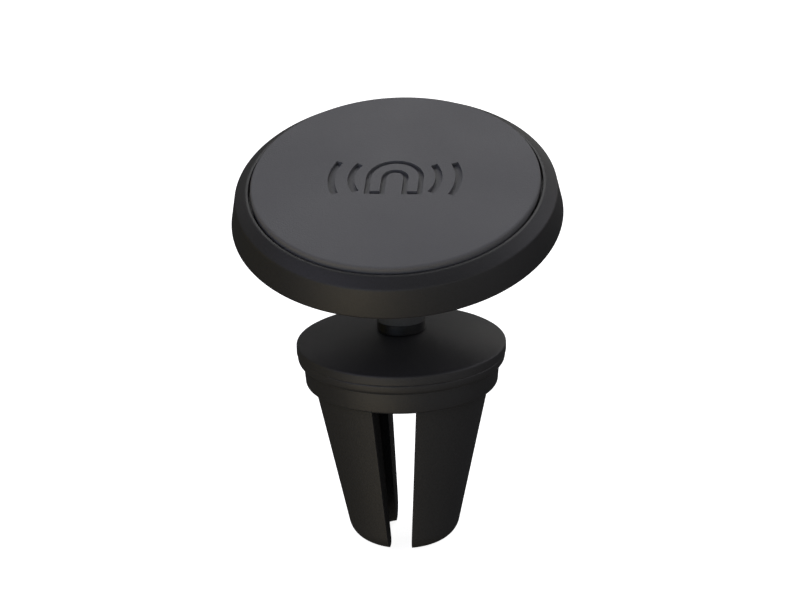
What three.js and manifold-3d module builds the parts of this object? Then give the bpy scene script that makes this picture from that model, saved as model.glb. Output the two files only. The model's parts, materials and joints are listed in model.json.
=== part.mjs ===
// A magnetic phone mount for a car's air vent, in millimetres.
// +Z runs up the vent clip's axis and the head leans towards -Y on its ball joint.
// The origin is where the clip's axis crosses the plane of its flange's top edge.
import * as THREE from 'three';
import Module from 'manifold-3d';
import { mergeVertices } from 'three/addons/utils/BufferGeometryUtils.js';

const wasm = await Module();
wasm.setup();

// ---- driving dimensions -------------------------------------------------

const FINE = 48;                 // segments of the large round pieces
const MEDIUM = 36;               // segments of the ball, its seat and the neck
const COARSE = 16;               // segments of small inner pieces
const OVERRUN = 0.5;             // how far a cutting or joined shape runs past the face it meets
const AIR = 0.3;                 // clearance between pieces that move or are cut by each other
const STACK_GAP = 0.1;           // clearance between pieces that are stacked and clamped
const REACH = 20;                // half-length of the shapes that part the prongs

// the head, with heights counted from the ball's centre along the head's own axis
const HEAD_TILT = 20;            // degrees that the head leans forward at rest
const BALL_HEIGHT = 13;          // ball's centre above the flange's top edge
const BALL_R = 5;
const HEAD_R = 22;               // widest, at the bottom of the side wall
const SHOULDER_R = 21.2;         // where the side wall meets the chamfer
const LIP_R = 19.7;
const HEAD_BOTTOM = 5.6;
const SHOULDER_Z = 9.69;
const LIP_Z = 10.74;
const PAD_R = 19;
const PAD_BOTTOM = 9.8;
const PAD_TOP = 11.5;
const PAD_EDGE = 0.4;
const TAPE_R = 18;
const TAPE_GAP = 0.05;           // clearance on both faces of the tape
const RECESS_R = 19.3;
const RECESS_FLOOR = 9.55;
const PLATE_UNDERSIDE = 8.7;     // inner side of the housing's front wall
const HOUSING_BORE_R = 20.2;
const EDGE_R = 0.35;             // small outer roundings
const LIP_BREAK = 0.1;           // tiny bevel on the lip's edges

// the magnets and the steel behind them
const MAGNET_COUNT = 6;
const MAGNET_R = 4.5;
const MAGNET_THICKNESS = 2;
const MAGNET_EDGE = 0.2;
const MAGNET_PITCH_R = 11.6;
const MAGNET_BACK = 6.6;
const POCKET_R = 4.65;
const TRAY_BORE_R = 3;
const STACK_R = 16.8;            // outer radius of the magnet tray and of the steel plate
const STEEL_THICKNESS = 0.65;
const STEEL_BORE_R = 2;

// the back cover and the socket in its boss
const COVER_R = 20;
const COVER_RIM_TOP = 6.9;
const COVER_RIM_BORE_R = 17.2;
const COVER_FLOOR = 5.75;
const COVER_DOME = [[13, 4.1], [17.8, 4.85], [19.6, 5.5], [COVER_R, 6.05]];
const COVER_SCREWS = 3;
const COVER_SCREW_R = 18.5;
const POST_R = 1.2;
const POST_PILOT_TOP = 8.4;
const PILOT_R = 0.75;            // bore that a screw's thread bites into or passes through
const COVER_POCKET_R = 1.25;
const COVER_POCKET_TOP = 5.9;
const BOSS_R = 7.7;
const BOSS_BORE_R = 6.45;
const BOSS_CEILING = 5.15;
const BOSS_END = -1.9;
const BOSS_FILLET_R = 1.8;
const BOSS_FILLET_Z = 1.7;

// the ball's seat, its wave washer and the ring nut
const SEAT_AIR = 0.12;
const SEAT_LOW = -1.5;
const SEAT_HIGH = 3.55;
const SEAT_BEVEL = 0.5;
const WAVE_INNER_R = 4.3;
const WAVE_OUTER_R = 5.9;
const WAVE_LOW = 4.3;
const WAVE_THICKNESS = 0.25;
const WAVE_LIFT = 0.45;
const WAVES = 3;
const SPIGOT_TOP = -1.7;
const SPIGOT_AIR = 0.25;
const RING_END = -3.2;
const RING_MOUTH = [[5.6, RING_END], [4.68, -2.2], [4.87, SPIGOT_TOP]];
const NOTCHES = 4;
const NOTCH_R = 0.55;

// screws, as head radius, shank radius and the heights of the head's two ends and of the tip
const COVER_SCREW = { headR: 1.1, shankR: 0.55, headEnd: 5.2, headTop: 5.8, tip: 8.2 };
const CORE_SCREW = { headR: 1.35, shankR: 0.6, headEnd: -5.65, headTop: -4.9, tip: -0.6 };
const CORE_SCREW_Y = 8;
const CROSS_REACH = 0.62;        // cross recess, as a share of the head's radius
const CROSS_HALF = 0.14;
const CROSS_DEPTH = 0.35;

// the ball stud, with heights in the clip's frame from here on
const NECK_R = 2.3;
const SHANK_R = 1.9;
const SHANK_END = -4.4;
const STUD_FOOT = [[3.25, 1.6], [3.25, 2.95]];
const STUD_FLARE = [[3.9, 4.6], [3.75, 5.6], [3.2, 6.4], [NECK_R, 7.3]];
const WASHER_R = 3.7;
const WASHER_THICKNESS = 0.3;
const NUT_R = 3.7;
const NUT_HEIGHT = 1.7;

// the flange cap and the collar under it
const FLANGE_R = 14.2;
const FLANGE_CURVE = [[14.2, -1.45], [14.13, -2.05], [13.95, -2.52], [13.65, -2.75]];
const CAP_TOP = 1.5;
const CAP_FLAT_R = 3.4;
const CAP_BOTTOM = -2.75;
const CAP_HOLLOW = [[11, CAP_BOTTOM], [11, -0.9], [5.6, 0.1], [4.4, 0.1]];
const CAP_HUB_R = 4.4;
const CAP_HUB_BOTTOM = -1.2;
const CAP_BOSS_R = 1.5;
const CAP_PILOT_TOP = -0.4;
const COLLAR_TOP = -2.85;
const COLLAR_BOTTOM = -5.8;
const COLLAR_TOP_R = 13.3;
const COLLAR_BOTTOM_R = 13.04;
const COLLAR_BORE_R = 11.5;
const COLLAR_LIP_R = 9.9;
const COLLAR_LIP_THICKNESS = 0.4;

// the core between the prongs' roots
const CORE_HUB_R = 5.8;
const CORE_BORE_R = 4.3;
const CORE_FLOOR = -4.8;
const CORE_POCKET_R = 1.55;
const RIB_INNER = 5;
const RIB_END_Y = 10.7;
const RIB_END_X = 11.1;
const RIB_DROP = 0.7;            // ribs end this far below the collar's top

// the four prongs and the slots between them
const PRONG_TOP_R = 11.86;       // outer radius just below the collar
const PRONG_SHOULDER = -6.1;
const PRONG_TIP = -28.6;
const PRONG_TAPER = 0.214;       // radius lost per millimetre of length
const PRONG_TIP_ROUND = 3.1;
const PRONG_BORE_TOP_R = 5.8;
const PRONG_BORE_TIP_R = 3.6;
const ROOT_R = 11.2;
const ROOT_BORE_R = 6.6;
const ROOT_TOP = -3.65;
const MAIN_SLOT_TOP_HALF = 2.93;
const MAIN_SLOT_TIP_HALF = 1.52;
const SIDE_SLOT_TOP_HALF = 0.9;
const SIDE_SLOT_TIP_HALF = 0.6;

// ---- materials ----------------------------------------------------------

const MATERIALS = {
  silicone: { color: 0x3a3b3d, roughness: 0.85, metalness: 0 },
  tape: { color: 0x202020, roughness: 0.9, metalness: 0 },
  shell: { color: 0x1c1c1d, roughness: 0.45, metalness: 0 },
  nylon: { color: 0xd8d6cc, roughness: 0.5, metalness: 0 },
  magnet: { color: 0xb8b9bc, roughness: 0.25, metalness: 1 },
  steel: { color: 0x8d9094, roughness: 0.35, metalness: 1 },
  stud: { color: 0x17171a, roughness: 0.3, metalness: 0.6 },
  prong: { color: 0x171615, roughness: 0.6, metalness: 0 },
};

// ---- geometry helpers ---------------------------------------------------

// Turns a profile of [radius, height] points about Z. A ring's profile is closed by its first point.
function lathe(profile, segments = FINE) {
  const points = profile.map(([radius, height]) => new THREE.Vector2(radius, height));
  if (profile[0][0] > 0) points.push(points[0].clone());
  return outward(new THREE.LatheGeometry(points, segments).rotateX(Math.PI / 2));
}

// A round arc of [radius, height] points about a centre, with angles in degrees from the +radius way.
function arc(centreR, centreZ, radius, fromDegrees, toDegrees, steps) {
  return Array.from({ length: steps + 1 }, (_, i) => {
    const angle = THREE.MathUtils.degToRad(fromDegrees + ((toDegrees - fromDegrees) * i) / steps);
    return [Math.max(0, centreR + radius * Math.cos(angle)), centreZ + radius * Math.sin(angle)];
  });
}

// Merges shared vertices and turns the faces of an inside-out shape round.
function outward(geometry) {
  const bare = geometry.clone();
  bare.deleteAttribute('normal');
  bare.deleteAttribute('uv');
  const welded = mergeVertices(bare, 1e-5);
  const at = welded.attributes.position;
  const [a, b, c] = [new THREE.Vector3(), new THREE.Vector3(), new THREE.Vector3()];
  const kept = [];
  let volume = 0;
  for (let i = 0; i < welded.index.count; i += 3) {
    const corners = [0, 1, 2].map((k) => welded.index.getX(i + k));
    if (new Set(corners).size < 3) continue;
    kept.push(...corners);
    a.fromBufferAttribute(at, corners[0]);
    b.fromBufferAttribute(at, corners[1]);
    c.fromBufferAttribute(at, corners[2]);
    volume += a.dot(b.cross(c));
  }
  welded.setIndex(volume < 0 ? kept.reverse() : kept);
  return welded;
}

function toSolid(geometry) {
  const closed = outward(geometry);
  return new wasm.Manifold(new wasm.Mesh({
    numProp: 3,
    vertProperties: new Float32Array(closed.attributes.position.array),
    triVerts: new Uint32Array(closed.index.array),
  }));
}

function fromSolid(solid) {
  const result = solid.getMesh();
  const geometry = new THREE.BufferGeometry();
  geometry.setAttribute('position', new THREE.BufferAttribute(result.vertProperties, 3));
  geometry.setIndex(new THREE.BufferAttribute(result.triVerts, 1));
  return geometry;
}

// Joins extra shapes to a base and then cuts others out of it.
function carve(base, { add = [], cut = [] }) {
  let solid = toSolid(base);
  for (const shape of add) solid = solid.add(toSolid(shape));
  for (const shape of cut) solid = solid.subtract(toSolid(shape));
  return fromSolid(solid);
}

// An upright cylinder between two heights.
function rod(radius, low, high, x = 0, y = 0, segments = COARSE) {
  const shape = new THREE.CylinderGeometry(radius, radius, high - low, segments);
  return shape.rotateX(Math.PI / 2).translate(x, y, (low + high) / 2);
}

function block(lowCorner, highCorner) {
  const low = new THREE.Vector3(...lowCorner);
  const size = new THREE.Vector3(...highCorner).sub(low);
  return new THREE.BoxGeometry(size.x, size.y, size.z).translate(
    low.x + size.x / 2, low.y + size.y / 2, low.z + size.z / 2);
}

// Points spread evenly on a circle, the first one at a given angle in degrees.
function around(count, radius, startDegrees = 0) {
  return Array.from({ length: count }, (_, i) => {
    const angle = THREE.MathUtils.degToRad(startDegrees + (360 * i) / count);
    return [radius * Math.cos(angle), radius * Math.sin(angle)];
  });
}

const phoneMount = new THREE.Group();
const head = new THREE.Group();
head.position.set(0, 0, BALL_HEIGHT);
head.rotation.set(THREE.MathUtils.degToRad(HEAD_TILT), 0, 0);
phoneMount.add(head);

function addPart(parent, name, look, geometry) {
  const mesh = new THREE.Mesh(geometry, new THREE.MeshStandardMaterial(MATERIALS[look]));
  mesh.name = name;
  parent.add(mesh);
}

// ---- the head -----------------------------------------------------------

const coverScrewPlaces = around(COVER_SCREWS, COVER_SCREW_R, 90);
const magnetPlaces = around(MAGNET_COUNT, MAGNET_PITCH_R);

function frontPad() {
  return lathe([
    [0, PAD_BOTTOM],
    [PAD_R, PAD_BOTTOM],
    ...arc(PAD_R - PAD_EDGE, PAD_TOP - PAD_EDGE, PAD_EDGE, 0, 90, 3),
    [0, PAD_TOP],
  ]);
}

function padTape() {
  const [back, face] = [RECESS_FLOOR + TAPE_GAP, PAD_BOTTOM - TAPE_GAP];
  return lathe([[0, back], [TAPE_R, back], [TAPE_R, face], [0, face]], MEDIUM);
}

// A shallow cup, open at the back: the raised lip keeps the pad in, the chamfer falls to the side wall,
// and three posts inside take the back cover's screws.
function frontHousing() {
  const shell = lathe([
    [0, PLATE_UNDERSIDE],
    [HOUSING_BORE_R, PLATE_UNDERSIDE],
    [HOUSING_BORE_R, HEAD_BOTTOM],
    ...arc(HEAD_R - EDGE_R, HEAD_BOTTOM + EDGE_R, EDGE_R, -90, 0, 3),
    ...arc(SHOULDER_R - EDGE_R, SHOULDER_Z - EDGE_R / 3, EDGE_R, 10, 50, 2),
    [LIP_R, LIP_Z - LIP_BREAK],
    [LIP_R - LIP_BREAK, LIP_Z],
    [RECESS_R + LIP_BREAK, LIP_Z],
    [RECESS_R, LIP_Z - LIP_BREAK],
    [RECESS_R, RECESS_FLOOR],
    [0, RECESS_FLOOR],
  ]);
  const postEnd = COVER_RIM_TOP + STACK_GAP;
  const postRoot = PLATE_UNDERSIDE + OVERRUN;
  const posts = coverScrewPlaces.map(([x, y]) => rod(POST_R, postEnd, postRoot, x, y));
  const pilots = coverScrewPlaces.map(([x, y]) => rod(PILOT_R, postEnd - OVERRUN, POST_PILOT_TOP, x, y));
  return carve(shell, { add: posts, cut: pilots });
}

function magnetTray() {
  const face = PLATE_UNDERSIDE - STACK_GAP;
  const disc = lathe([[TRAY_BORE_R, MAGNET_BACK], [STACK_R, MAGNET_BACK], [STACK_R, face],
    [TRAY_BORE_R, face]], MEDIUM);
  const [low, high] = [MAGNET_BACK - OVERRUN, face + OVERRUN];
  const pockets = magnetPlaces.map(([x, y]) => rod(POCKET_R, low, high, x, y));
  return carve(disc, { cut: pockets });
}

function magnet(x, y) {
  const top = MAGNET_BACK + MAGNET_THICKNESS;
  return lathe([
    [0, MAGNET_BACK],
    [MAGNET_R - MAGNET_EDGE, MAGNET_BACK],
    [MAGNET_R, MAGNET_BACK + MAGNET_EDGE],
    [MAGNET_R, top - MAGNET_EDGE],
    [MAGNET_R - MAGNET_EDGE, top],
    [0, top],
  ], COARSE).translate(x, y, 0);
}

function steelPlate() {
  const back = COVER_FLOOR + STACK_GAP;
  const face = back + STEEL_THICKNESS;
  return lathe([[STEEL_BORE_R, back], [STACK_R, back], [STACK_R, face], [STEEL_BORE_R, face]], MEDIUM);
}

// A shallow dome that closes the head, with a boss behind it that holds the ball's seat.
function backCover() {
  const dome = lathe([
    [0, BOSS_CEILING],
    [BOSS_BORE_R, BOSS_CEILING],
    [BOSS_BORE_R, BOSS_END],
    [BOSS_R, BOSS_END],
    ...arc(BOSS_R + BOSS_FILLET_R, BOSS_FILLET_Z, BOSS_FILLET_R, 180, 105, 4),
    ...COVER_DOME,
    [COVER_R, COVER_RIM_TOP],
    [COVER_RIM_BORE_R, COVER_RIM_TOP],
    [COVER_RIM_BORE_R, COVER_FLOOR],
    [0, COVER_FLOOR],
  ]);
  const [below, above] = [BOSS_FILLET_Z, COVER_RIM_TOP + OVERRUN];
  const holes = coverScrewPlaces.map(([x, y]) => rod(PILOT_R, below, above, x, y));
  const headPockets = coverScrewPlaces.map(([x, y]) => rod(COVER_POCKET_R, below, COVER_POCKET_TOP, x, y));
  return carve(dome, { cut: [...holes, ...headPockets] });
}

// A pan-head screw with a cross recess. Its head faces down.
function screw(x, y, { headR, shankR, headEnd, headTop, tip }) {
  const round = 0.15;
  const point = 0.3;
  const body = lathe([
    [0, headEnd],
    [headR - round, headEnd],
    [headR, headEnd + round],
    [headR, headTop],
    [shankR, headTop],
    [shankR, tip - point],
    [shankR / 2, tip],
    [0, tip],
  ], COARSE);
  const [low, high] = [headEnd - OVERRUN, headEnd + CROSS_DEPTH];
  const arm = headR * CROSS_REACH;
  const across = block([-arm, -CROSS_HALF, low], [arm, CROSS_HALF, high]);
  const along = block([-CROSS_HALF, -arm, low], [CROSS_HALF, arm, high]);
  return carve(body, { cut: [across, along] }).translate(x, y, 0);
}

// The nylon seat grips the ball's upper half and turns in the boss.
function ballSeat() {
  const sphereR = BALL_R + SEAT_AIR;
  const outerR = BOSS_BORE_R - AIR;
  const degreesAt = (z) => THREE.MathUtils.radToDeg(Math.asin(z / sphereR));
  return lathe([
    ...arc(0, 0, sphereR, degreesAt(SEAT_LOW), degreesAt(SEAT_HIGH), 7),
    [outerR - SEAT_BEVEL, SEAT_HIGH],
    [outerR, SEAT_HIGH - SEAT_BEVEL],
    [outerR, SEAT_LOW],
  ], MEDIUM);
}

// A wave washer that presses the seat onto the ball: a flat ring lifted in three waves.
function waveWasher() {
  const high = WAVE_LOW + WAVE_THICKNESS;
  const ring = lathe([[WAVE_INNER_R, WAVE_LOW], [WAVE_OUTER_R, WAVE_LOW], [WAVE_OUTER_R, high],
    [WAVE_INNER_R, high]], MEDIUM);
  const at = ring.attributes.position;
  for (let i = 0; i < at.count; i += 1) {
    const angle = Math.atan2(at.getY(i), at.getX(i));
    at.setZ(i, at.getZ(i) + WAVE_LIFT * Math.sin(WAVES * angle));
  }
  return ring;
}

// The ring nut under the boss keeps the ball in. Four notches take a pin spanner.
function socketRing() {
  const ringTop = BOSS_END - SPIGOT_AIR;
  const bevel = 0.25;
  const ring = lathe([
    [BOSS_BORE_R - SPIGOT_AIR, SPIGOT_TOP],
    [BOSS_BORE_R - SPIGOT_AIR, ringTop],
    [BOSS_R, ringTop],
    [BOSS_R, RING_END + bevel],
    [BOSS_R - bevel, RING_END],
    ...RING_MOUTH,
  ], MEDIUM);
  const notchPlaces = around(NOTCHES, BOSS_R + bevel / 2, 45);
  const [low, high] = [RING_END - OVERRUN, ringTop - AIR];
  return carve(ring, { cut: notchPlaces.map(([x, y]) => rod(NOTCH_R, low, high, x, y)) });
}

addPart(head, 'front_pad', 'silicone', frontPad());
addPart(head, 'pad_tape', 'tape', padTape());
addPart(head, 'front_housing', 'shell', frontHousing());
addPart(head, 'magnet_tray', 'nylon', magnetTray());
magnetPlaces.forEach(([x, y], i) => addPart(head, `magnet_${i + 1}`, 'magnet', magnet(x, y)));
addPart(head, 'steel_plate', 'steel', steelPlate());
addPart(head, 'back_cover', 'shell', backCover());
coverScrewPlaces.forEach(([x, y], i) => {
  addPart(head, `cover_screw_${i + 1}`, 'steel', screw(x, y, COVER_SCREW));
});
addPart(head, 'ball_seat', 'nylon', ballSeat());
addPart(head, 'wave_washer', 'steel', waveWasher());
addPart(head, 'socket_ring', 'shell', socketRing());

// ---- the ball stud ------------------------------------------------------

function ballStud() {
  const neckDegrees = THREE.MathUtils.radToDeg(Math.acos(NECK_R / BALL_R));
  const bevel = 0.3;
  return lathe([
    [0, SHANK_END],
    [SHANK_R - bevel, SHANK_END],
    [SHANK_R, SHANK_END + bevel],
    [SHANK_R, STUD_FOOT[0][1]],
    ...STUD_FOOT,
    ...STUD_FLARE,
    ...arc(0, BALL_HEIGHT, BALL_R, -neckDegrees, 90, 12),
  ], MEDIUM);
}

const WASHER_TOP = CAP_HUB_BOTTOM - STACK_GAP;
const NUT_TOP = WASHER_TOP - WASHER_THICKNESS - STACK_GAP;

function studWasher() {
  const bore = SHANK_R + STACK_GAP;
  const bottom = WASHER_TOP - WASHER_THICKNESS;
  return lathe([[bore, bottom], [WASHER_R, bottom], [WASHER_R, WASHER_TOP], [bore, WASHER_TOP]], COARSE);
}

function studNut() {
  const bottom = NUT_TOP - NUT_HEIGHT;
  const hexagon = rod(NUT_R, bottom, NUT_TOP, 0, 0, 6);
  return carve(hexagon, { cut: [rod(SHANK_R + STACK_GAP, bottom - OVERRUN, NUT_TOP + OVERRUN)] });
}

addPart(phoneMount, 'ball_stud', 'stud', ballStud());
addPart(phoneMount, 'stud_washer', 'steel', studWasher());
addPart(phoneMount, 'stud_nut', 'steel', studNut());

// ---- the vent clip ------------------------------------------------------

const coreScrewYs = [-CORE_SCREW_Y, CORE_SCREW_Y];

// A low cone with an upright rim, hollow below, with a hub for the stud and two screw bosses.
function flangeCap() {
  const bore = SHANK_R + STACK_GAP;
  const cap = lathe([
    [bore, CAP_TOP],
    [CAP_FLAT_R, CAP_TOP],
    [FLANGE_R - 0.45, 0.12],
    ...arc(FLANGE_R - EDGE_R, -EDGE_R, EDGE_R, 75, 0, 3),
    ...FLANGE_CURVE,
    ...CAP_HOLLOW,
    [CAP_HUB_R, CAP_HUB_BOTTOM],
    [bore, CAP_HUB_BOTTOM],
  ]);
  const bossTop = CAP_HOLLOW[2][1];
  const bosses = coreScrewYs.map((y) => rod(CAP_BOSS_R, CAP_BOTTOM, bossTop, 0, y));
  const pilots = coreScrewYs.map((y) => rod(PILOT_R, CAP_BOTTOM - OVERRUN, CAP_PILOT_TOP, 0, y));
  return carve(cap, { add: bosses, cut: pilots });
}

// The collar below the flange: a slightly tapered sleeve with an inner lip at its top.
function collarRing() {
  return lathe([
    [COLLAR_LIP_R, COLLAR_TOP],
    [COLLAR_TOP_R - LIP_BREAK, COLLAR_TOP],
    [COLLAR_TOP_R, COLLAR_TOP - LIP_BREAK],
    ...arc(COLLAR_BOTTOM_R - EDGE_R, COLLAR_BOTTOM + EDGE_R, EDGE_R, 0, -90, 3),
    [COLLAR_BORE_R, COLLAR_BOTTOM],
    [COLLAR_BORE_R, COLLAR_TOP - COLLAR_LIP_THICKNESS],
    [COLLAR_LIP_R, COLLAR_TOP - COLLAR_LIP_THICKNESS],
  ]);
}

// The slots taper from the collar to the prong tips, so each is a trapezoid pushed through the clip.
function slotCutter(topHalf, tipHalf, turnDegrees) {
  const over = 4;
  const slope = (topHalf - tipHalf) / (PRONG_SHOULDER - PRONG_TIP);
  const [high, low] = [topHalf + slope * over, tipHalf - slope * over];
  const [top, bottom] = [PRONG_SHOULDER + over, PRONG_TIP - over];
  const outline = new THREE.Shape([
    new THREE.Vector2(-high, top), new THREE.Vector2(-low, bottom),
    new THREE.Vector2(low, bottom), new THREE.Vector2(high, top)]);
  return new THREE.ExtrudeGeometry(outline, { depth: 2 * REACH, bevelEnabled: false })
    .rotateX(Math.PI / 2)
    .translate(0, REACH, 0)
    .rotateZ(THREE.MathUtils.degToRad(turnDegrees));
}

// The core closes the clip's top between the prongs: a hub with a cross of four ribs.
function clipCore() {
  const ribTop = COLLAR_TOP - RIB_DROP;
  const hub = lathe([
    [0, COLLAR_BOTTOM],
    [CORE_HUB_R, COLLAR_BOTTOM],
    [CORE_HUB_R, COLLAR_TOP],
    [CORE_BORE_R, COLLAR_TOP],
    [CORE_BORE_R, CORE_FLOOR],
    [0, CORE_FLOOR],
  ], MEDIUM);
  const wide = MAIN_SLOT_TOP_HALF - AIR;
  const narrow = SIDE_SLOT_TOP_HALF - AIR;
  const ribs = [
    block([-wide, RIB_INNER, COLLAR_BOTTOM], [wide, RIB_END_Y, ribTop]),
    block([-wide, -RIB_END_Y, COLLAR_BOTTOM], [wide, -RIB_INNER, ribTop]),
    block([RIB_INNER, -narrow, COLLAR_BOTTOM], [RIB_END_X, narrow, ribTop]),
    block([-RIB_END_X, -narrow, COLLAR_BOTTOM], [-RIB_INNER, narrow, ribTop]),
  ];
  const below = COLLAR_BOTTOM - OVERRUN;
  const holes = coreScrewYs.map((y) => rod(PILOT_R, below, COLLAR_TOP, 0, y));
  const headPockets = coreScrewYs.map((y) => rod(CORE_POCKET_R, below, CORE_FLOOR, 0, y));
  return carve(hub, { add: ribs, cut: [...holes, ...headPockets] });
}

// All four prongs before the slots part them: a hollow taper with a narrower root inside the collar.
function prongBlank() {
  const tipR = PRONG_TOP_R - PRONG_TAPER * (PRONG_SHOULDER - PRONG_TIP);
  const taperDegrees = THREE.MathUtils.radToDeg(Math.atan(PRONG_TAPER));
  const roundR = tipR - PRONG_TIP_ROUND * 0.78;
  const bevel = 0.15;
  return lathe([
    [ROOT_BORE_R, ROOT_TOP],
    [ROOT_R, ROOT_TOP],
    [ROOT_R, PRONG_SHOULDER + bevel],
    [PRONG_TOP_R - bevel, PRONG_SHOULDER],
    [PRONG_TOP_R, PRONG_SHOULDER - bevel],
    ...arc(roundR, PRONG_TIP + PRONG_TIP_ROUND, PRONG_TIP_ROUND, -taperDegrees, -90, 6),
    [PRONG_BORE_TIP_R + 0.4, PRONG_TIP],
    [PRONG_BORE_TIP_R, PRONG_TIP + 0.5],
    [PRONG_BORE_TOP_R, PRONG_SHOULDER - 0.2],
    [ROOT_BORE_R, PRONG_SHOULDER + 0.6],
  ]);
}

// One prong is the quarter of the blank that lies between the two slots.
function prong(sideX, sideY) {
  const quarter = block(
    [Math.min(0, REACH * sideX), Math.min(0, REACH * sideY), PRONG_TIP - OVERRUN],
    [Math.max(0, REACH * sideX), Math.max(0, REACH * sideY), 0]);
  const mainSlot = slotCutter(MAIN_SLOT_TOP_HALF, MAIN_SLOT_TIP_HALF, 0);
  const sideSlot = slotCutter(SIDE_SLOT_TOP_HALF, SIDE_SLOT_TIP_HALF, 90);
  return fromSolid(toSolid(prongBlank())
    .intersect(toSolid(quarter))
    .subtract(toSolid(mainSlot))
    .subtract(toSolid(sideSlot)));
}

addPart(phoneMount, 'flange_cap', 'shell', flangeCap());
addPart(phoneMount, 'collar_ring', 'shell', collarRing());
addPart(phoneMount, 'clip_core', 'shell', clipCore());
['front', 'back'].forEach((end, i) => {
  addPart(phoneMount, `core_screw_${end}`, 'steel', screw(0, coreScrewYs[i], CORE_SCREW));
});
for (const [end, sideY] of [['front', -1], ['back', 1]]) {
  for (const [side, sideX] of [['left', -1], ['right', 1]]) {
    addPart(phoneMount, `prong_${end}_${side}`, 'prong', prong(sideX, sideY));
  }
}

export default phoneMount;
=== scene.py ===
import json
import math

import bmesh
import bpy
from mathutils import Matrix, Vector


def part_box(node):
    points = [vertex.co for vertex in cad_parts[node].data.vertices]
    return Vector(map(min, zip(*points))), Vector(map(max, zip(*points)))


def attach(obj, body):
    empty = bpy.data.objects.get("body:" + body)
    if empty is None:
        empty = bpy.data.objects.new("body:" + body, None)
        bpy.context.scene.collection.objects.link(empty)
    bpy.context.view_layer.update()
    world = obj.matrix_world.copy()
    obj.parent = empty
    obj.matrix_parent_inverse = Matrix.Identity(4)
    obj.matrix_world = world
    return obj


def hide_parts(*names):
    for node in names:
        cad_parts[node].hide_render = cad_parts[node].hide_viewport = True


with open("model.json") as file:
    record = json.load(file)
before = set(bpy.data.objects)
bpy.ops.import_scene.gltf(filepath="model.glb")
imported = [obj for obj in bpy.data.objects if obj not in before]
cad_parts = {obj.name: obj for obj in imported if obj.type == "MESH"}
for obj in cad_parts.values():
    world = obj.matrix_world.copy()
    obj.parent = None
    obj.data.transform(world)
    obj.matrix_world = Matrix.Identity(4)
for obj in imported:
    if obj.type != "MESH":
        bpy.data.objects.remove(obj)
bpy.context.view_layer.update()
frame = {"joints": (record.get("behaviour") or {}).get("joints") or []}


# ---- grip pad ------------------------------------------------------------------------------------
# The phone rests on this disc of dark grey silicone. It is compression moulded, with a soft matte
# grain and a magnet sign pressed into its face, and it is stuck into the housing's recess.

MM = 0.001
PAD_RADIUS, PAD_BACK, PAD_FACE, PAD_ROUND = 19, 9.8, 11.5, 0.35
SIGN_DEPTH = 0.5
SIGN_LINE = 0.95
HORSESHOE_BEND, HORSESHOE_BAND, HORSESHOE_LEG = 2.45, 2.7, 3.6
FIELD_ARCS = [(5.75, 32), (8.35, 25)]

# The head's own axis leans forward, so its pieces are made upright and then put in this place.
lean = next(j for j in frame["joints"] if j["name"] == "head_spin")
HEAD = (Matrix.Translation(Vector(lean["pos_m"]))
        @ Vector((0, 0, 1)).rotation_difference(Vector(lean["axis"])).to_matrix().to_4x4())


def turned(profile, steps=192):
    """A closed round piece, turned about Z from points of radius, height and optional rounding, in mm.
    A profile that starts and ends on the axis is closed by the axis."""
    shape = bmesh.new()
    points = [shape.verts.new((p[0] * MM, 0, p[1] * MM)) for p in profile]
    for a, b in zip(points, points[1:] + points[:1] if profile[0][0] else points[1:]):
        shape.edges.new((a, b))
    for size in sorted({p[2] for p in profile if len(p) > 2}):
        corners = [v for v, p in zip(points, profile) if len(p) > 2 and p[2] == size]
        bmesh.ops.bevel(shape, geom=corners, offset=size * MM, offset_type="OFFSET", segments=6,
                        profile=0.5, affect="VERTICES", material=-1)
    bmesh.ops.spin(shape, geom=shape.verts[:] + shape.edges[:], axis=(0, 0, 1), cent=(0, 0, 0),
                   angle=math.tau, steps=steps, use_merge=True)
    bmesh.ops.remove_doubles(shape, verts=shape.verts[:], dist=1e-7)
    flat_poles = [v for v in shape.verts if v.co.xy.length < 1e-8
                  and all(abs(e.other_vert(v).co.z - v.co.z) < 1e-8 for e in v.link_edges)]
    bmesh.ops.dissolve_verts(shape, verts=flat_poles)
    bmesh.ops.recalc_face_normals(shape, faces=shape.faces[:])
    return shape


def set_down(shape, name="loose"):
    """Puts a shape into the scene as an object."""
    mesh = bpy.data.meshes.new(name)
    shape.to_mesh(mesh)
    shape.free()
    made = bpy.data.objects.new(name, mesh)
    bpy.context.scene.collection.objects.link(made)
    return made


def combined(shape, operation, others):
    """The shape with others joined to it (UNION) or cut out of it (DIFFERENCE)."""
    base = set_down(shape)
    tools = [set_down(other) for other in others]
    for tool in tools:
        step = base.modifiers.new("step", "BOOLEAN")
        step.operation, step.object, step.solver = operation, tool, "EXACT"
    result = bmesh.new()
    result.from_object(base, bpy.context.evaluated_depsgraph_get())
    for used in [base] + tools:
        bpy.data.meshes.remove(used.data)
    return result


def strip_solid(strip, low, high):
    """Gives a flat strip of faces the height between two levels, in mm."""
    bmesh.ops.translate(strip, verts=strip.verts[:], vec=(0, 0, low * MM))
    made = bmesh.ops.extrude_face_region(strip, geom=strip.faces[:], use_keep_orig=True)
    raised = [g for g in made["geom"] if isinstance(g, bmesh.types.BMVert)]
    bmesh.ops.translate(strip, verts=raised, vec=(0, 0, (high - low) * MM))
    bmesh.ops.recalc_face_normals(strip, faces=strip.faces[:])
    return strip


def finish_piece(name, shape, material, body, nodes, place=Matrix(), sharp=32):
    """Puts a finished shape in place, as the piece that stands for its CAD nodes."""
    shape.transform(place)
    made = set_down(shape, name)
    made.data.shade_smooth()
    made.data.set_sharp_from_angle(angle=math.radians(sharp))
    made.data.materials.append(material)
    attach(made, body)
    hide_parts(*nodes)
    return made


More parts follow.
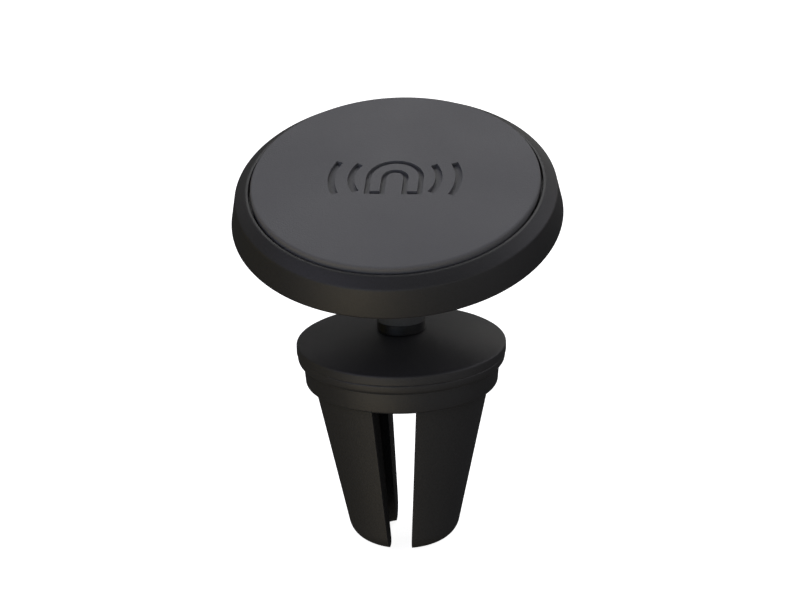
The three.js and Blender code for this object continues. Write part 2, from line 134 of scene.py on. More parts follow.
def field_arc(radius, half_angle, side):
    """One curved line of the sign, on the right (side 1) or the left (side -1) of the magnet."""
    strip = bmesh.new()
    inner, outer = radius - SIGN_LINE / 2, radius + SIGN_LINE / 2
    ends = [strip.verts.new((side * r * MM, 0, 0)) for r in (inner, outer)]
    edge = strip.edges.new(ends)
    lower_end = Matrix.Rotation(-math.radians(half_angle), 3, "Z")
    bmesh.ops.rotate(strip, verts=ends, cent=(0, 0, 0), matrix=lower_end)
    bmesh.ops.spin(strip, geom=ends + [edge], axis=(0, 0, 1), cent=(0, 0, 0),
                   angle=math.radians(2 * half_angle), steps=24)
    return strip_solid(strip, PAD_FACE - SIGN_DEPTH, PAD_FACE + 1)


def horseshoe():
    """The outline of a horseshoe magnet that opens downwards, with a line across each leg."""
    strip = bmesh.new()
    inner, outer = HORSESHOE_BEND - HORSESHOE_BAND / 2, HORSESHOE_BEND + HORSESHOE_BAND / 2
    ends = [strip.verts.new((r * MM, 0, 0)) for r in (inner, outer)]
    edge = strip.edges.new(ends)
    bmesh.ops.spin(strip, geom=ends + [edge], axis=(0, 0, 1), cent=(0, 0, 0), angle=math.pi, steps=40)
    feet = [e for e in strip.edges if e.is_boundary and all(abs(v.co.y) < 1e-8 for v in e.verts)]
    made = bmesh.ops.extrude_edge_only(strip, edges=feet)
    moved = [g for g in made["geom"] if isinstance(g, bmesh.types.BMVert)]
    bmesh.ops.translate(strip, verts=moved, vec=(0, -HORSESHOE_LEG * MM, 0))
    bmesh.ops.recalc_face_normals(strip, faces=strip.faces[:])
    rim = bmesh.ops.inset_region(strip, faces=strip.faces[:], thickness=SIGN_LINE * 0.72 * MM,
                                 use_boundary=True, use_even_offset=True)
    inside = [f for f in strip.faces if f not in rim["faces"]]
    bmesh.ops.delete(strip, geom=inside, context="FACES")
    bmesh.ops.translate(strip, verts=strip.verts[:], vec=(0, 0.1 * MM, 0))
    return strip_solid(strip, PAD_FACE - SIGN_DEPTH, PAD_FACE + 1)


def node_maker(tree):
    """Adds nodes to a tree: inputs are given by socket name, as values or as other nodes' outputs."""
    def add(kind, inputs=None, **settings):
        node = tree.nodes.new(kind)
        for name, value in settings.items():
            setattr(node, name, value)
        for name, value in (inputs or {}).items():
            if isinstance(value, bpy.types.NodeSocket):
                tree.links.new(value, node.inputs[name])
            else:
                node.inputs[name].default_value = value
        return node
    return add


def effect(name, inputs, outputs):
    """An empty shader node group with float inputs and the given outputs."""
    group = bpy.data.node_groups.new(name, "ShaderNodeTree")
    for label, value in inputs.items():
        socket = group.interface.new_socket(label, in_out="INPUT", socket_type="NodeSocketFloat")
        socket.default_value = value
    for label, kind in outputs.items():
        group.interface.new_socket(label, in_out="OUTPUT", socket_type=kind)
    add = node_maker(group)
    return group, add, add("NodeGroupInput").outputs, add("NodeGroupOutput").inputs


# Moulded grain: the fine spark-eroded texture of a mould, with slow waves of gloss from the flow.
moulded_grain, add, given, result = effect(
    "moulded grain", {"Grain per m": 5000, "Waves per m": 60},
    {"Height": "NodeSocketFloat", "Gloss waves": "NodeSocketFloat", "Specks": "NodeSocketFloat"})
at = add("ShaderNodeTexCoord").outputs["Object"]
grain = add("ShaderNodeTexNoise", {"Vector": at, "Scale": given["Grain per m"], "Detail": 3.0,
                                   "Roughness": 0.6})
waves = add("ShaderNodeTexNoise", {"Vector": at, "Scale": given["Waves per m"], "Detail": 2.0,
                                   "Roughness": 0.5, "Distortion": 0.6})
cells = add("ShaderNodeTexVoronoi", {"Vector": at, "Scale": given["Grain per m"]}, feature="F1")
pits = add("ShaderNodeMapRange", {"Value": cells.outputs["Distance"], "From Min": 0.05, "From Max": 0.6})
height = add("ShaderNodeMath", {0: grain.outputs["Fac"], 1: pits.outputs["Result"]},
             operation="MULTIPLY")
specks = add("ShaderNodeMapRange", {"Value": grain.outputs["Fac"], "From Min": 0.35, "From Max": 0.65})
moulded_grain.links.new(height.outputs[0], result["Height"])
moulded_grain.links.new(waves.outputs["Fac"], result["Gloss waves"])
moulded_grain.links.new(specks.outputs["Result"], result["Specks"])

# Worn edge: where a corner is rubbed by hands it turns a little paler and smoother.
worn_edge, add, given, result = effect(
    "worn edge", {"Width": 0.0004, "Strength": 1.0}, {"Edge": "NodeSocketFloat"})
soft = add("ShaderNodeBevel", {"Radius": given["Width"]}, samples=6)
true = add("ShaderNodeNewGeometry").outputs["Normal"]
along = add("ShaderNodeVectorMath", {0: soft.outputs["Normal"], 1: true}, operation="DOT_PRODUCT")
bend = add("ShaderNodeMapRange", {"Value": along.outputs["Value"], "From Min": 0.995, "From Max": 0.90})
patchy = add("ShaderNodeTexNoise", {"Vector": add("ShaderNodeTexCoord").outputs["Object"],
                                    "Scale": 420.0, "Detail": 4.0, "Roughness": 0.65})
patches = add("ShaderNodeMapRange", {"Value": patchy.outputs["Fac"], "From Min": 0.4, "From Max": 0.62})
worn = add("ShaderNodeMath", {0: bend.outputs["Result"], 1: patches.outputs["Result"]},
           operation="MULTIPLY")
scaled = add("ShaderNodeMath", {0: worn.outputs[0], 1: given["Strength"]},
             operation="MULTIPLY", use_clamp=True)
worn_edge.links.new(scaled.outputs[0], result["Edge"])


SPECK_SHARE = 0.16


def finish_of(name, colour, pale, roughness, gloss_change, grain_per_m, grain_height, wear):
    """A moulded finish: a base colour that turns to a pale one on specks and worn edges, a roughness
    that drifts by gloss_change, and a grain of grain_height metres."""
    material = bpy.data.materials.new(name)
    material.use_nodes = True
    add = node_maker(material.node_tree)
    shader = material.node_tree.nodes["Principled BSDF"]
    grain = add("ShaderNodeGroup", node_tree=moulded_grain)
    grain.inputs["Grain per m"].default_value = grain_per_m
    edge = add("ShaderNodeGroup", node_tree=worn_edge)
    edge.inputs["Strength"].default_value = wear
    flecks = add("ShaderNodeMath", {0: grain.outputs["Specks"], 1: SPECK_SHARE}, operation="MULTIPLY")
    both = add("ShaderNodeMath", {0: flecks.outputs[0], 1: edge.outputs["Edge"]},
               operation="ADD", use_clamp=True)
    tint = add("ShaderNodeMix", {"Factor": both.outputs[0]}, data_type="RGBA")
    tint.inputs[6].default_value = (*colour, 1)
    tint.inputs[7].default_value = (*pale, 1)
    gloss = add("ShaderNodeMapRange", {"Value": grain.outputs["Gloss waves"],
                                       "From Min": 0.3, "From Max": 0.7,
                                       "To Min": roughness - gloss_change,
                                       "To Max": roughness + gloss_change})
    rubbed = add("ShaderNodeMath", {0: edge.outputs["Edge"], 1: -0.12, 2: gloss.outputs["Result"]},
                 operation="MULTIPLY_ADD")
    relief = add("ShaderNodeBump", {"Height": grain.outputs["Height"], "Distance": grain_height,
                                    "Strength": 1.0})
    links = material.node_tree.links
    links.new(tint.outputs[2], shader.inputs["Base Color"])
    links.new(rubbed.outputs[0], shader.inputs["Roughness"])
    links.new(relief.outputs["Normal"], shader.inputs["Normal"])
    return material


silicone = finish_of("grey silicone", (0.128, 0.128, 0.13), (0.158, 0.158, 0.16), 0.72, 0.05,
                     grain_per_m=4200, grain_height=0.00003, wear=0.25)
pad = turned([(0, PAD_BACK), (PAD_RADIUS, PAD_BACK, 0.15),
              (PAD_RADIUS, PAD_FACE, PAD_ROUND), (0, PAD_FACE)], 256)
sign_lines = [field_arc(radius, angle, side) for radius, angle in FIELD_ARCS for side in (-1, 1)]
pad = combined(pad, "DIFFERENCE", [horseshoe()] + sign_lines)
finish_piece("grip_pad", pad, silicone, "head", ["front_pad"], HEAD)


# ---- pad tape ------------------------------------------------------------------------------------
# A die-cut disc of black double-sided foam tape holds the pad in the housing's recess.

TAPE_RADIUS, TAPE_BACK, TAPE_FACE = 18, 9.6, 9.75

tape_black = finish_of("black foam tape", (0.012, 0.012, 0.012), (0.03, 0.03, 0.03), 0.9, 0.03,
                       grain_per_m=2600, grain_height=0.00006, wear=0.0)
tape = turned([(0, TAPE_BACK), (TAPE_RADIUS, TAPE_BACK, 0.05),
               (TAPE_RADIUS, TAPE_FACE, 0.05), (0, TAPE_FACE)], 128)
finish_piece("foam_tape", tape, tape_black, "head", ["pad_tape"], HEAD)


# ---- front housing -------------------------------------------------------------------------------
# The head's shallow cup, injection moulded in black plastic. Its chamfer rises to a thin lip round
# the pad, and three posts inside take the rear cover's screws.

FACE_RADIUS, CUP_BACK = 22, 5.6
SHOULDER_RADIUS, SHOULDER_HEIGHT = 21.2, 9.69
LIP_RADIUS, LIP_HEIGHT = 19.7, 10.74
RECESS_RADIUS, RECESS_FLOOR = 19.3, 9.55
CUP_BORE, CUP_CEILING = 20.2, 8.7
SCREW_CIRCLE, SCREW_ANGLES = 18.5, [90, 210, 330]
POST_RADIUS, PILOT_RADIUS = 1.2, 0.75


def pin(radius, low, high, x=0, y=0, sides=48):
    """An upright round pin or hole, in mm."""
    shape = bmesh.new()
    middle = Vector((x, y, (low + high) / 2)) * MM
    bmesh.ops.create_cone(shape, cap_ends=True, segments=sides, radius1=radius * MM, radius2=radius * MM,
                          depth=(high - low) * MM, matrix=Matrix.Translation(middle))
    return shape


def on_circle(radius, degrees):
    """The place at an angle on a circle round the axis, in mm."""
    return radius * math.cos(math.radians(degrees)), radius * math.sin(math.radians(degrees))


satin_black = finish_of("satin black plastic", (0.019, 0.019, 0.0193), (0.045, 0.045, 0.046), 0.52, 0.03,
                        grain_per_m=5200, grain_height=0.000012, wear=0.35)
cup = turned([(0, CUP_CEILING), (CUP_BORE, CUP_CEILING), (CUP_BORE, CUP_BACK, 0.12),
              (FACE_RADIUS, CUP_BACK, 0.35), (SHOULDER_RADIUS, SHOULDER_HEIGHT, 0.22),
              (LIP_RADIUS, LIP_HEIGHT, 0.14), (RECESS_RADIUS, LIP_HEIGHT, 0.1),
              (RECESS_RADIUS, RECESS_FLOOR), (0, RECESS_FLOOR)], 256)
screw_places = [on_circle(SCREW_CIRCLE, degrees) for degrees in SCREW_ANGLES]
cup = combined(cup, "UNION", [pin(POST_RADIUS, 7, 8.9, x, y) for x, y in screw_places])
cup = combined(cup, "DIFFERENCE", [pin(PILOT_RADIUS, 6.5, 8.4, x, y, 32) for x, y in screw_places])
finish_piece("face_housing", cup, satin_black, "head", ["front_housing"], HEAD)


# ---- magnets and their tray ----------------------------------------------------------------------
# Six nickel-plated neodymium discs sit in the pockets of a natural nylon tray behind the face.

MAGNET_CIRCLE, MAGNET_RADIUS, MAGNET_BACK, MAGNET_FRONT = 11.6, 4.5, 6.6, 8.6
TRAY_BORE, TRAY_RADIUS, POCKET_RADIUS = 3, 16.8, 4.65

natural_nylon = finish_of("natural nylon", (0.62, 0.59, 0.5), (0.7, 0.68, 0.6), 0.48, 0.04,
                          grain_per_m=3000, grain_height=0.00002, wear=0.1)
magnet_places = [on_circle(MAGNET_CIRCLE, 60 * i) for i in range(6)]
tray = turned([(TRAY_BORE, MAGNET_BACK, 0.15), (TRAY_RADIUS, MAGNET_BACK, 0.15),
               (TRAY_RADIUS, MAGNET_FRONT, 0.15), (TRAY_BORE, MAGNET_FRONT, 0.15)], 144)
tray = combined(tray, "DIFFERENCE", [pin(POCKET_RADIUS, 5, 10, x, y, 72) for x, y in magnet_places])
finish_piece("tray", tray, natural_nylon, "head", ["magnet_tray"], HEAD)

# Drawn metal: hair-fine marks all over and a few dull spots on bright metal.
drawn_metal, add, given, result = effect(
    "fine marks", {"Marks per m": 9000}, {"Height": "NodeSocketFloat", "Dull": "NodeSocketFloat"})
at = add("ShaderNodeTexCoord").outputs["Object"]
marks = add("ShaderNodeTexNoise", {"Vector": at, "Scale": given["Marks per m"], "Detail": 2.0})
spots = add("ShaderNodeTexNoise", {"Vector": at, "Scale": 260.0, "Detail": 4.0, "Roughness": 0.7})
dull = add("ShaderNodeMapRange", {"Value": spots.outputs["Fac"], "From Min": 0.45, "From Max": 0.75})
drawn_metal.links.new(marks.outputs["Fac"], result["Height"])
drawn_metal.links.new(dull.outputs["Result"], result["Dull"])


def metal_of(name, colour, dull_colour, roughness, marks_per_m):
    """A plated or pressed metal finish with fine marks and duller spots."""
    material = bpy.data.materials.new(name)
    material.use_nodes = True
    add = node_maker(material.node_tree)
    shader = material.node_tree.nodes["Principled BSDF"]
    marks = add("ShaderNodeGroup", node_tree=drawn_metal)
    marks.inputs["Marks per m"].default_value = marks_per_m
    tint = add("ShaderNodeMix", {"Factor": marks.outputs["Dull"]}, data_type="RGBA")
    tint.inputs[6].default_value = (*colour, 1)
    tint.inputs[7].default_value = (*dull_colour, 1)
    gloss = add("ShaderNodeMapRange", {"Value": marks.outputs["Dull"], "To Min": roughness,
                                       "To Max": roughness + 0.2})
    relief = add("ShaderNodeBump", {"Height": marks.outputs["Height"], "Distance": 0.000008,
                                    "Strength": 0.6})
    links = material.node_tree.links
    links.new(tint.outputs[2], shader.inputs["Base Color"])
    links.new(gloss.outputs["Result"], shader.inputs["Roughness"])
    links.new(relief.outputs["Normal"], shader.inputs["Normal"])
    shader.inputs["Metallic"].default_value = 1.0
    return material


nickel = metal_of("nickel plate", (0.66, 0.64, 0.6), (0.5, 0.48, 0.45), 0.16, 9000)
for number, (x, y) in enumerate(magnet_places, 1):
    disc = turned([(0, MAGNET_BACK), (MAGNET_RADIUS, MAGNET_BACK, 0.2),
                   (MAGNET_RADIUS, MAGNET_FRONT, 0.2), (0, MAGNET_FRONT)], 72)
    bmesh.ops.translate(disc, verts=disc.verts[:], vec=(x * MM, y * MM, 0))
    finish_piece(f"disc_magnet_{number}", disc, nickel, "head", [f"magnet_{number}"], HEAD)


# ---- steel plate ---------------------------------------------------------------------------------
# A zinc-plated steel washer behind the magnets turns their pull forwards to the phone.

PLATE_BORE, PLATE_RADIUS, PLATE_BACK, PLATE_FACE = 2, 16.8, 5.85, 6.5

zinc = metal_of("zinc plate", (0.42, 0.43, 0.45), (0.3, 0.31, 0.33), 0.34, 5000)
plate = turned([(PLATE_BORE, PLATE_BACK, 0.08), (PLATE_RADIUS, PLATE_BACK, 0.12),
                (PLATE_RADIUS, PLATE_FACE, 0.12), (PLATE_BORE, PLATE_FACE, 0.08)], 144)
finish_piece("backing_plate", plate, zinc, "head", ["steel_plate"], HEAD)


# ---- rear cover ----------------------------------------------------------------------------------
# A shallow moulded dome closes the head from behind. Its boss is the bore that the ball's seat
# turns in, and three pockets near its rim sink the screw heads.

BOSS_BORE, BOSS_RADIUS, BOSS_END = 6.45, 7.7, -1.9
COVER_RADIUS, COVER_INNER, COVER_FLOOR, COVER_EDGE = 20, 17.2, 5.75, 6.9
SOCKET_ROOF, HEAD_POCKET, POCKET_DEPTH = 5.15, 1.25, 5.9

cover = turned([(0, SOCKET_ROOF), (BOSS_BORE, SOCKET_ROOF), (BOSS_BORE, BOSS_END, 0.1),
                (BOSS_RADIUS, BOSS_END, 0.25), (BOSS_RADIUS, 3.22, 1.6), (13, 4.1, 2), (17.8, 4.85, 1.2),
                (19.6, 5.5, 0.4), (COVER_RADIUS, 6.05, 0.25), (COVER_RADIUS, COVER_EDGE, 0.1),
                (COVER_INNER, COVER_EDGE), (COVER_INNER, COVER_FLOOR), (0, COVER_FLOOR)], 256)
cover = combined(cover, "DIFFERENCE", [pin(PILOT_RADIUS, 4, 8, x, y, 32) for x, y in screw_places]
                 + [pin(HEAD_POCKET, 4, POCKET_DEPTH, x, y) for x, y in screw_places])
finish_piece("rear_cover", cover, satin_black, "head", ["back_cover"], HEAD)


# ---- screws --------------------------------------------------------------------------------------
# Small pan-head screws with a cross recess, cold headed in zinc-plated steel. Their shanks are plain.
# Three join the head's two halves from behind, and two hold the clip's core under the flange.

def box_shape(low, high):
    """An upright block between two corners, in mm."""
    shape = bmesh.new()
    bmesh.ops.create_cube(shape, size=MM)
    size = [b - a for a, b in zip(low, high)]
    bmesh.ops.scale(shape, vec=size, verts=shape.verts[:])
    bmesh.ops.translate(shape, verts=shape.verts[:], vec=[(a + b) / 2 * MM for a, b in zip(low, high)])
    return shape


COVER_SCREW = {"head_end": 5.2, "head_top": 5.8, "tip": 8.2, "head_radius": 1.1, "core_radius": 0.55}
CORE_SCREW = {"head_end": -5.65, "head_top": -4.9, "tip": -0.6, "head_radius": 1.35, "core_radius": 0.6}
CORE_SCREW_Y = 8
CROSS_REACH, CROSS_HALF, CROSS_DEPTH = 0.62, 0.14, 0.35


def pan_screw(head_end, head_top, tip, head_radius, core_radius):
    """A screw whose head faces down; heights in mm."""
    shape = turned([(0, head_end), (head_radius, head_end, 0.22), (head_radius, head_top, 0.06),
                    (core_radius, head_top, 0.08), (core_radius, tip - 0.3),
                    (core_radius * 0.45, tip), (0, tip)], 48)
    arm, below, floor = head_radius * CROSS_REACH, head_end - 0.2, head_end + CROSS_DEPTH
    cross = [box_shape((-arm, -CROSS_HALF, below), (arm, CROSS_HALF, floor)),
             box_shape((-CROSS_HALF, -arm, below), (CROSS_HALF, arm, floor))]
    return combined(shape, "DIFFERENCE", cross)


for number, (x, y) in enumerate(screw_places, 1):
    screw = pan_screw(**COVER_SCREW)
    bmesh.ops.translate(screw, verts=screw.verts[:], vec=(x * MM, y * MM, 0))
    finish_piece(f"rear_screw_{number}", screw, zinc, "head", [f"cover_screw_{number}"], HEAD)

for end, y in (("front", -CORE_SCREW_Y), ("back", CORE_SCREW_Y)):
    screw = pan_screw(**CORE_SCREW)
    bmesh.ops.translate(screw, verts=screw.verts[:], vec=(0, y * MM, 0))
    finish_piece(f"clip_screw_{end}", screw, zinc, "vent_clip", [f"core_screw_{end}"])


# ---- ball seat and wave washer -------------------------------------------------------------------
# The nylon seat wraps the ball's upper half. Above it a sprung steel ring, pressed into three
# waves, keeps it tight against the ball.

def arc(centre_radius, centre_height, radius, start, stop, steps):
    """Profile points on a round arc between two angles in degrees, in mm."""
    angles = [math.radians(start + (stop - start) * i / steps) for i in range(steps + 1)]
    return [(max(0, centre_radius + radius * math.cos(a)), centre_height + radius * math.sin(a))
            for a in angles]


SEAT_HOLLOW, SEAT_RADIUS, SEAT_END = 5.12, 6.15, -1.5
SEAT_LOW_ANGLE, SEAT_HIGH_ANGLE = -17.04, 43.9
RING_BORE, RING_RADIUS, RING_BACK, RING_FACE = 4.3, 5.9, 4.3, 4.55
WAVE_HEIGHT, WAVES = 0.45, 3

seat = turned(arc(0, 0, SEAT_HOLLOW, SEAT_LOW_ANGLE, SEAT_HIGH_ANGLE, 20)
              + [(5.65, 3.55), (SEAT_RADIUS, 3.05, 0.1), (SEAT_RADIUS, SEAT_END, 0.1)], 128)
finish_piece("nylon_seat", seat, natural_nylon, "ball_seat", ["ball_seat"], HEAD)

washer = turned([(RING_BORE, RING_BACK, 0.05), (RING_RADIUS, RING_BACK, 0.05),
                 (RING_RADIUS, RING_FACE, 0.05), (RING_BORE, RING_FACE, 0.05)], 144)
for point in washer.verts:
    point.co.z += WAVE_HEIGHT * MM * math.sin(WAVES * math.atan2(point.co.y, point.co.x))
finish_piece("spring_washer", washer, zinc, "head", ["wave_washer"], HEAD)


# ---- ring nut ------------------------------------------------------------------------------------
# A moulded ring under the boss closes the socket round the ball. A pin key turns it by four notches.

SPIGOT_RADIUS, SPIGOT_TOP, NUT_FACE, NUT_END = 6.2, -1.7, -2.15, -3.2
NOTCH_RADIUS, NOTCH_CIRCLE, NOTCH_TOP = 0.55, 7.85, -2.45

ring = turned([(4.87, SPIGOT_TOP, 0.05), (SPIGOT_RADIUS, SPIGOT_TOP, 0.1), (SPIGOT_RADIUS, NUT_FACE),
               (BOSS_RADIUS, NUT_FACE, 0.1), (BOSS_RADIUS, NUT_END, 0.28),
               (5.6, NUT_END, 0.12), (4.68, -2.2, 0.1)], 192)
notches = [pin(NOTCH_RADIUS, -4, NOTCH_TOP, *on_circle(NOTCH_CIRCLE, 45 + 90 * i), 32) for i in range(4)]
ring = combined(ring, "DIFFERENCE", notches)
finish_piece("ring_nut", ring, satin_black, "head", ["socket_ring"], HEAD)


# ---- ball stud, washer and nut -------------------------------------------------------------------
# The stud is turned from steel and blackened: a ball, a neck, a foot that sits on the flange and a
# shank through it. The flare above the foot gets a paler copy of the blackened steel on its down-facing
# faces, painted light for the light that falls on that band. A washer and a nut pull the stud down.

BALL_CENTRE, BALL_RADIUS, NECK_RADIUS = 13, 5, 2.3
SHANK_RADIUS, SHANK_END = 1.9, -4.4
FOOT_RADIUS, FOOT_BOTTOM, FOOT_TOP = 3.25, 1.6, 2.95
FLARE_RADIUS, FLARE_BOTTOM, FLARE_TOP, SHOULDER_TOP = 3.9, 3, 4.6, 5.6
WASHER_BORE, WASHER_RADIUS, WASHER_BOTTOM, WASHER_TOP = 2, 3.7, -1.6, -1.3
NUT_RADIUS, NUT_BOTTOM, NUT_TOP, NUT_CHAMFER = 3.7, -3.4, -1.7, 0.3

gun_black = finish_of("blackened steel", (0.006, 0.006, 0.006), (0.02, 0.02, 0.02), 0.34, 0.05,
                      grain_per_m=7000, grain_height=0.000006, wear=0.3)
# A paler copy of the blackened steel: painted light for the lit band on the stud's flare.
painted_light_flare_steel = finish_of("painted light flare steel", (0.078, 0.078, 0.076), (0.11, 0.11, 0.11), 0.5, 0.04,
                          grain_per_m=6000, grain_height=0.00002, wear=0.3)
neck_angle = math.degrees(math.acos(NECK_RADIUS / BALL_RADIUS))
stud = turned([(0, SHANK_END), (SHANK_RADIUS, SHANK_END, 0.3), (SHANK_RADIUS, FOOT_BOTTOM),
               (FOOT_RADIUS, FOOT_BOTTOM, 0.08), (FOOT_RADIUS, FOOT_TOP, 0.08),
               (FLARE_RADIUS, FLARE_TOP, 0.4), (3.75, SHOULDER_TOP, 0.3), (3.2, 6.4, 0.3),
               (NECK_RADIUS, 7.3, 0.35), (NECK_RADIUS, 8.45, 0.05)]
              + arc(0, BALL_CENTRE, BALL_RADIUS, -neck_angle + 1, 90, 40), 128)
# Painted light: the flare's down-facing faces take the paler copy, as if lit, while the foot below stays
# dark.
for face in stud.faces:
    if FLARE_BOTTOM * MM < face.calc_center_median().z < SHOULDER_TOP * MM and face.normal.z < 0:
        face.material_index = 1
made = finish_piece("blackened_stud", stud, gun_black, "ball_stud", ["ball_stud"])
made.data.materials.append(painted_light_flare_steel)

flat_washer = turned([(WASHER_BORE, WASHER_BOTTOM, 0.04), (WASHER_RADIUS, WASHER_BOTTOM, 0.08),
                      (WASHER_RADIUS, WASHER_TOP, 0.08), (WASHER_BORE, WASHER_TOP, 0.04)], 72)
finish_piece("flat_washer", flat_washer, zinc, "ball_stud", ["stud_washer"])

chamfer = turned([(0, NUT_BOTTOM), (3.2, NUT_BOTTOM), (3.75, NUT_BOTTOM + NUT_CHAMFER),
                  (3.75, NUT_TOP - NUT_CHAMFER), (3.2, NUT_TOP), (0, NUT_TOP)], 96)
nut = combined(pin(NUT_RADIUS, NUT_BOTTOM, NUT_TOP, sides=6), "INTERSECT", [chamfer])
nut = combined(nut, "DIFFERENCE", [pin(WASHER_BORE, -5, 0)])
finish_piece("hex_nut", nut, zinc, "ball_stud", ["stud_nut"])


# ---- flange --------------------------------------------------------------------------------------
# The clip's top is a low moulded cone. Below a fine groove its upright rim curves in, and it stops
# against the vent's blades. Under it a hub takes the stud and two bosses take the core's screws.

FLANGE_RADIUS, FLANGE_BOTTOM, RIM_ROUND = 14.2, -2.75, 0.35
CAP_TOP, CAP_BORE, CAP_FLAT = 1.5, 2, 3.4
HUB_RADIUS, HUB_BOTTOM, CAP_INNER = 4.4, -1.2, 11
CAP_BOSS, CAP_BOSS_TOP = 1.5, 0.4

flange_black = finish_of("flange black plastic", (0.023, 0.023, 0.0233), (0.052, 0.052, 0.053), 0.53, 0.03,
                         grain_per_m=5200, grain_height=0.000012, wear=0.35)
flange = turned([(CAP_BORE, CAP_TOP), (CAP_FLAT, CAP_TOP, 0.15), (13.75, 0.12),
                 *arc(FLANGE_RADIUS - RIM_ROUND, -RIM_ROUND, RIM_ROUND, 75, 0, 6),
                 (FLANGE_RADIUS, -1.33, 0.06), (14.02, -1.42), (14.1, -1.55, 0.06), (14.07, -2.05, 0.25),
                 (13.95, -2.5, 0.2), (13.65, FLANGE_BOTTOM, 0.08), (CAP_INNER, FLANGE_BOTTOM),
                 (CAP_INNER, -0.9), (5.6, 0.1), (HUB_RADIUS, 0.1), (HUB_RADIUS, HUB_BOTTOM),
                 (CAP_BORE, HUB_BOTTOM)], 256)
core_screw_ys = (-CORE_SCREW_Y, CORE_SCREW_Y)
flange = combined(flange, "UNION", [pin(CAP_BOSS, FLANGE_BOTTOM, CAP_BOSS_TOP, 0, y) for y in core_screw_ys])
flange = combined(flange, "DIFFERENCE", [pin(PILOT_RADIUS, -4, -0.4, 0, y, 32) for y in core_screw_ys])
finish_piece("flange", flange, flange_black, "vent_clip", ["flange_cap"])


# ---- collar --------------------------------------------------------------------------------------
# A slightly tapered moulded sleeve under the flange keeps the prongs' roots together.

COLLAR_TOP, COLLAR_BOTTOM = -2.85, -5.8
LIP_BORE, LIP_BOTTOM, SLEEVE_BORE = 9.9, -3.25, 11.5

collar = turned([(LIP_BORE, COLLAR_TOP), (13.3, COLLAR_TOP, 0.12), (13.04, COLLAR_BOTTOM, 0.35),
                 (SLEEVE_BORE, COLLAR_BOTTOM, 0.1), (SLEEVE_BORE, LIP_BOTTOM), (LIP_BORE, LIP_BOTTOM)], 256)
finish_piece("collar", collar, satin_black, "vent_clip", ["collar_ring"])


# ---- clip core -----------------------------------------------------------------------------------
# A hub with a cross of four ribs fills the slots' upper ends and holds the prongs' roots apart.

CORE_RADIUS, CORE_BORE, CORE_FLOOR = 5.8, 4.3, -4.8
RIB_TOP, RIB_INNER, RIB_END_X, RIB_END_Y = -3.55, 5, 11.1, 10.7
CORE_HEAD_POCKET = 1.55
WIDE_HALF, NARROW_HALF = 2.63, 0.6

core = turned([(0, COLLAR_BOTTOM), (CORE_RADIUS, COLLAR_BOTTOM, 0.1), (CORE_RADIUS, COLLAR_TOP, 0.1),
               (CORE_BORE, COLLAR_TOP, 0.1), (CORE_BORE, CORE_FLOOR), (0, CORE_FLOOR)], 128)
ribs = [box_shape((-WIDE_HALF, RIB_INNER, COLLAR_BOTTOM), (WIDE_HALF, RIB_END_Y, RIB_TOP)),
        box_shape((-WIDE_HALF, -RIB_END_Y, COLLAR_BOTTOM), (WIDE_HALF, -RIB_INNER, RIB_TOP)),
        box_shape((RIB_INNER, -NARROW_HALF, COLLAR_BOTTOM), (RIB_END_X, NARROW_HALF, RIB_TOP)),
        box_shape((-RIB_END_X, -NARROW_HALF, COLLAR_BOTTOM), (-RIB_INNER, NARROW_HALF, RIB_TOP))]
core = combined(core, "UNION", ribs)
core = combined(core, "DIFFERENCE", [pin(PILOT_RADIUS, -8, -2, 0, y, 32) for y in core_screw_ys]
                + [pin(CORE_HEAD_POCKET, -8, CORE_FLOOR, 0, y) for y in core_screw_ys])
finish_piece("core", core, satin_black, "vent_clip", ["clip_core"])


# ---- prongs --------------------------------------------------------------------------------------
# Four springy prongs, moulded in tough matte nylon, narrow to rounded tips. The wide slot between
# the left and right ones takes a vent blade, and the narrow slot lets each one bend by itself.

PRONG_RADIUS, PRONG_TOP, PRONG_TIP, PRONG_TAPER = 11.86, -6.1, -28.6, 0.214
ROOT_BORE, ROOT_RADIUS, ROOT_TOP = 6.6, 11.2, -3.65
BORE_TOP, BORE_TIP = 5.8, 3.6
TIP_ROUND, TIP_INSET = 3.1, 2.418
EDGE_ROUND = 0.18

# Half of each slot's width, at the prongs' top and at their tips.
WIDE_SLOT, NARROW_SLOT = (2.93, 1.52), (0.9, 0.6)

matte_nylon = finish_of("matte black nylon", (0.019, 0.019, 0.019), (0.045, 0.045, 0.045), 0.62, 0.04,
                        grain_per_m=3600, grain_height=0.00002, wear=0.3)
tip_radius = PRONG_RADIUS - PRONG_TAPER * (PRONG_TOP - PRONG_TIP)
blank_profile = [(ROOT_BORE, ROOT_TOP, 0.1), (ROOT_RADIUS, ROOT_TOP, 0.1),
                 (ROOT_RADIUS, PRONG_TOP + 0.1, 0.05), (PRONG_RADIUS, PRONG_TOP - 0.02, 0.2),
                 *arc(tip_radius - TIP_INSET, PRONG_TIP + TIP_ROUND, TIP_ROUND, -12, -90, 16),
                 (BORE_TIP + 0.4, PRONG_TIP, 0.2), (BORE_TIP, PRONG_TIP + 0.5, 0.15),
                 (BORE_TOP, PRONG_TOP - 0.2, 0.1), (ROOT_BORE, PRONG_TOP + 0.6, 0.2)]


def cut_away(shape, point, normal):
    """Cuts a shape with a plane, takes away the side that the normal points to, and closes the cut."""
    everything = shape.verts[:] + shape.edges[:] + shape.faces[:]
    made = bmesh.ops.bisect_plane(shape, geom=everything, dist=1e-8, plane_co=[c * MM for c in point],
                                  plane_no=normal, clear_outer=True)
    rim = [g for g in made["geom_cut"] if isinstance(g, bmesh.types.BMEdge)]
    bmesh.ops.edgeloop_fill(shape, edges=rim)


def slot_normal(slot, side):
    """The way that a slot's wall faces, out of the prong on one side: across the slot, and up."""
    top, tip = slot
    return -side, (top - tip) / (PRONG_TOP - PRONG_TIP)


